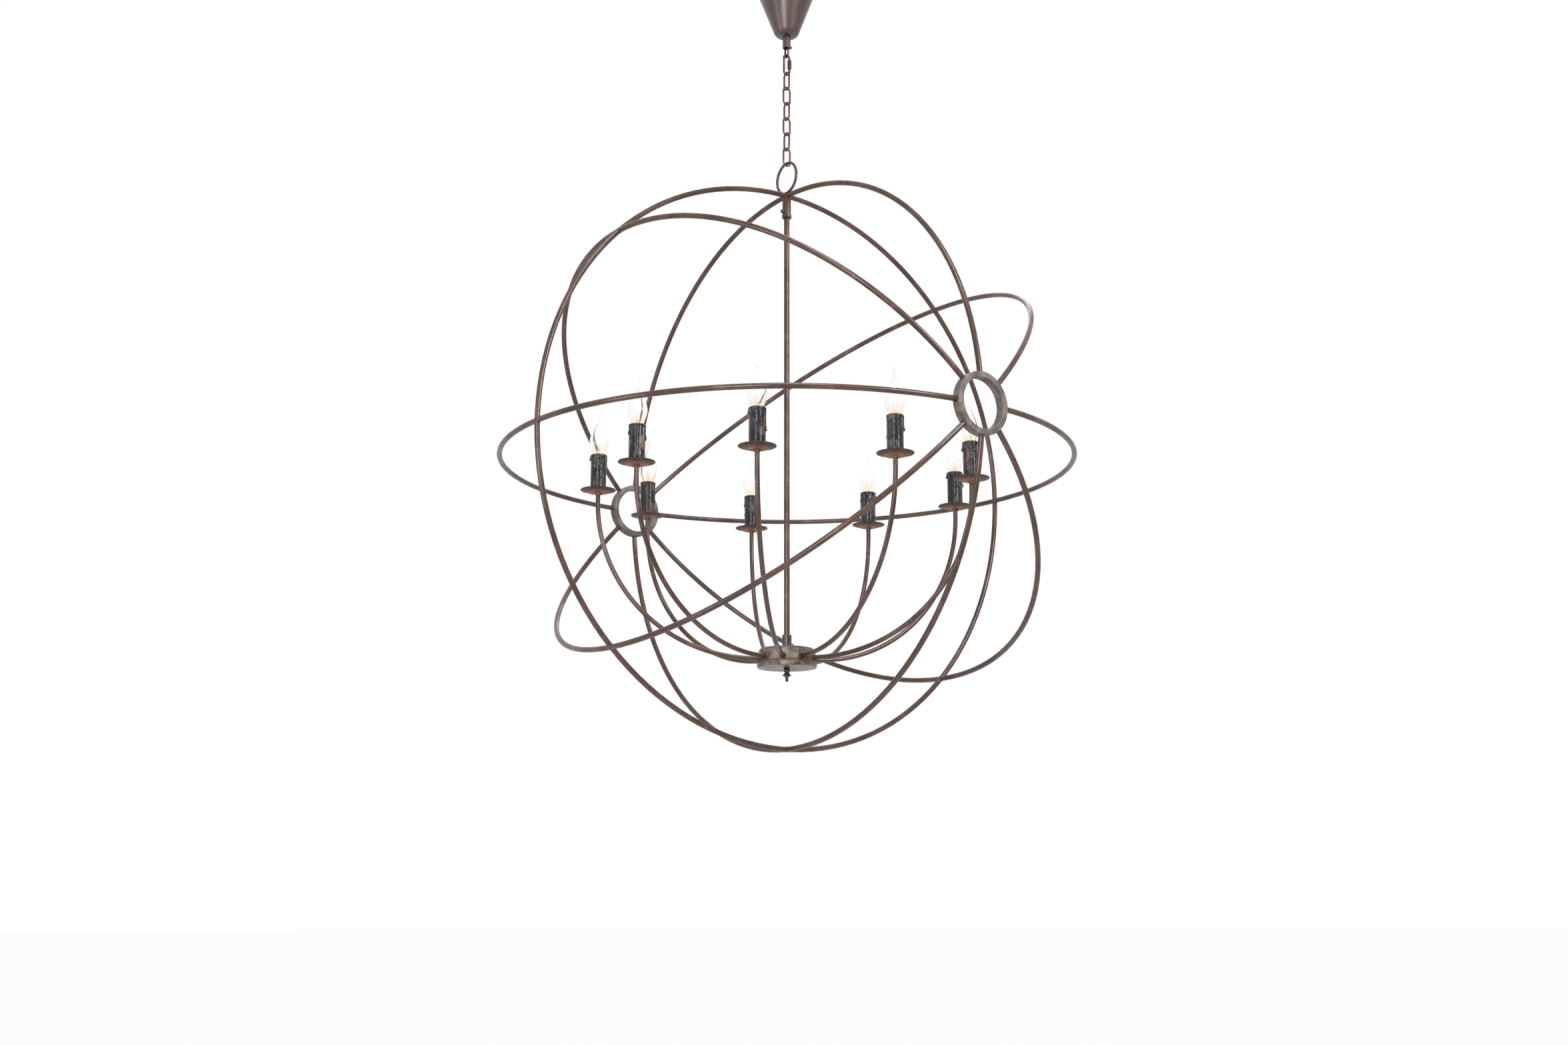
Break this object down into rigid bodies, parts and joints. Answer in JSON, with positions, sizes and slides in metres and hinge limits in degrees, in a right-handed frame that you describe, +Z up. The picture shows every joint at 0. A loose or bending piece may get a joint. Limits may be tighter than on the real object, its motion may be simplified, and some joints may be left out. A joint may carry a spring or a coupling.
{
  "type": "orb chandelier",
  "caption": "Hanging orb of crossed iron bars round a tree of candle lamps on upswept arms, hung by a short chain from a conical canopy.",
  "frame": {"origin": "on the ceiling, midway between the bracket's two slots", "axes": "+Z up into the ceiling; the unbroken hoop lies in the XZ plane; the pipe rings face -Y and +Y"},
  "size_m": [1.009, 1.0108, 1.4138],
  "materials": {
    "iron_patina": "hand-rubbed dark rusty brown iron",
    "ring_iron": "rough grey-brown cast iron",
    "hub_metal": "worn grey-brown spun steel",
    "dark_fittings": "dark brown turned metal",
    "canopy_paint": "satin brown paint",
    "pan_iron": "rusty orange-brown sheet",
    "candle_wax": "glossy black with brown wax drips",
    "insulator": "cream thermoset",
    "lead_sheath": "black sheath",
    "splice_cap": "closed crimp cap",
    "bulb_glass": "clear",
    "zinc_steel": "zinc-plated"
  },
  "bodies": {
    "ceiling_set": {"ceiling_bracket": "zinc_steel", "bracket_nuts": "zinc_steel", "hanger_rod": "zinc_steel", "terminal_block": "insulator", "earth_screw": "zinc_steel"},
    "canopy_set": {"canopy": "canopy_paint", "canopy_collar": "canopy_paint", "grub_screw": "dark_fittings"},
    "collar_screw": {"collar_screw": "dark_fittings"},
    "quick_link": {"quick_link": "iron_patina"},
    "quick_link_sleeve": {"quick_link_sleeve": "iron_patina"},
    "chain_link_1": {"chain_link_1": "iron_patina"},
    "chain_link_2": {"chain_link_2": "iron_patina"},
    "chain_link_3": {"chain_link_3": "iron_patina"},
    "chain_link_4": {"chain_link_4": "iron_patina"},
    "chain_link_5": {"chain_link_5": "iron_patina"},
    "chain_link_6": {"chain_link_6": "iron_patina"},
    "orb_frame": {"hanging_ring": "iron_patina", "frame_ring": "iron_patina", "front_ring": "ring_iron", "back_ring": "ring_iron", "upright_bars": "iron_patina", "level_bars": "iron_patina", "left_tilt_bars": "iron_patina", "right_tilt_bars": "iron_patina", "stem_socket": "iron_patina"},
    "thumb_screw": {"thumb_screw": "dark_fittings"},
    "candle_tree": {"stem": "iron_patina", "stem_collar": "iron_patina", "hub_body": "hub_metal", "hub_bridge": "zinc_steel", "centre_bolt": "zinc_steel", "stem_nut": "zinc_steel", "arm_nuts": "zinc_steel", "arm_1": "iron_patina", "arm_2": "iron_patina", "arm_3": "iron_patina", "arm_4": "iron_patina", "arm_5": "iron_patina", "arm_6": "iron_patina", "arm_7": "iron_patina", "arm_8": "iron_patina", "arm_9": "iron_patina", "arm_leads": "lead_sheath", "lead_connectors": "splice_cap", "drip_pans": "pan_iron", "candle_sleeves": "candle_wax", "lamp_holders": "insulator", "holder_nuts": "zinc_steel"},
    "hub_cover": {"hub_cover": "hub_metal"},
    "finial": {"finial": "dark_fittings"},
    "bulb_1": {"bulb_1": "bulb_glass"},
    "bulb_2": {"bulb_2": "bulb_glass"},
    "bulb_3": {"bulb_3": "bulb_glass"},
    "bulb_4": {"bulb_4": "bulb_glass"},
    "bulb_5": {"bulb_5": "bulb_glass"},
    "bulb_6": {"bulb_6": "bulb_glass"},
    "bulb_7": {"bulb_7": "bulb_glass"},
    "bulb_8": {"bulb_8": "bulb_glass"},
    "bulb_9": {"bulb_9": "bulb_glass"}
  },
  "joints": [
    {"name": "canopy_drop", "type": "slide", "parent": "ceiling_set", "child": "canopy_set", "axis": [0, 0, 1], "range_m": [-0.01, 0]},
    {"name": "collar_screw_turn_out", "type": "slide", "parent": "canopy_set", "child": "collar_screw", "axis": [1, 0, 0], "range_m": [0, 0.004]},
    {"name": "quick_link_swing", "type": "hinge", "parent": "ceiling_set", "child": "quick_link", "pos_m": [0, 0, -0.13775], "axis": [0, 1, 0], "range_deg": [-20, 20]},
    {"name": "quick_link_sleeve_travel", "type": "slide", "parent": "quick_link", "child": "quick_link_sleeve", "axis": [0, 0, -1], "range_m": [0, 0.0065]},
    {"name": "link_1_swing", "type": "hinge", "parent": "quick_link", "child": "chain_link_1", "pos_m": [0, 0, -0.1723], "axis": [1, 0, 0], "range_deg": [-20, 20]},
    {"name": "link_2_swing", "type": "hinge", "parent": "chain_link_1", "child": "chain_link_2", "pos_m": [0, 0, -0.20185], "axis": [0, 1, 0], "range_deg": [-20, 20]},
    {"name": "link_3_twist", "type": "hinge", "parent": "chain_link_2", "child": "chain_link_3", "pos_m": [0, 0, -0.23165], "axis": [0, 0, 1], "range_deg": [-35, 35]},
    {"name": "link_4_swing", "type": "hinge", "parent": "chain_link_3", "child": "chain_link_4", "pos_m": [0, 0, -0.26145], "axis": [0, 1, 0], "range_deg": [-20, 20]},
    {"name": "link_5_swing", "type": "hinge", "parent": "chain_link_4", "child": "chain_link_5", "pos_m": [0, 0, -0.29125], "axis": [1, 0, 0], "range_deg": [-20, 20]},
    {"name": "link_6_swing", "type": "hinge", "parent": "chain_link_5", "child": "chain_link_6", "pos_m": [0, 0, -0.32105], "axis": [0, 1, 0], "range_deg": [-20, 20]},
    {"name": "orb_swing", "type": "hinge", "parent": "chain_link_6", "child": "orb_frame", "pos_m": [0, 0, -0.35085], "axis": [1, 0, 0], "range_deg": [-20, 20]},
    {"name": "thumb_screw_turn_out", "type": "slide", "parent": "orb_frame", "child": "thumb_screw", "axis": [-1, 0, 0], "range_m": [0, 0.006]},
    {"name": "candle_tree_turn", "type": "hinge", "parent": "orb_frame", "child": "candle_tree", "pos_m": [0, 0, -0.4273], "axis": [0, 0, 1], "range_deg": [-180, 180]},
    {"name": "hub_cover_lift_off", "type": "slide", "parent": "candle_tree", "child": "hub_cover", "axis": [0, 0, -1], "range_m": [0, 0.03]},
    {"name": "finial_unscrew", "type": "slide", "parent": "hub_cover", "child": "finial", "axis": [0, 0, -1], "range_m": [0, 0.012]},
    {"name": "bulb_1_unscrew", "type": "slide", "parent": "candle_tree", "child": "bulb_1", "axis": [0, 0, 1], "range_m": [0, 0.03]},
    {"name": "bulb_2_unscrew", "type": "slide", "parent": "candle_tree", "child": "bulb_2", "axis": [0, 0, 1], "range_m": [0, 0.03]},
    {"name": "bulb_3_unscrew", "type": "slide", "parent": "candle_tree", "child": "bulb_3", "axis": [0, 0, 1], "range_m": [0, 0.03]},
    {"name": "bulb_4_unscrew", "type": "slide", "parent": "candle_tree", "child": "bulb_4", "axis": [0, 0, 1], "range_m": [0, 0.03]},
    {"name": "bulb_5_unscrew", "type": "slide", "parent": "candle_tree", "child": "bulb_5", "axis": [0, 0, 1], "range_m": [0, 0.03]},
    {"name": "bulb_6_unscrew", "type": "slide", "parent": "candle_tree", "child": "bulb_6", "axis": [0, 0, 1], "range_m": [0, 0.03]},
    {"name": "bulb_7_unscrew", "type": "slide", "parent": "candle_tree", "child": "bulb_7", "axis": [0, 0, 1], "range_m": [0, 0.03]},
    {"name": "bulb_8_unscrew", "type": "slide", "parent": "candle_tree", "child": "bulb_8", "axis": [0, 0, 1], "range_m": [0, 0.03]},
    {"name": "bulb_9_unscrew", "type": "slide", "parent": "candle_tree", "child": "bulb_9", "axis": [0, 0, 1], "range_m": [0, 0.03]}
  ]
}
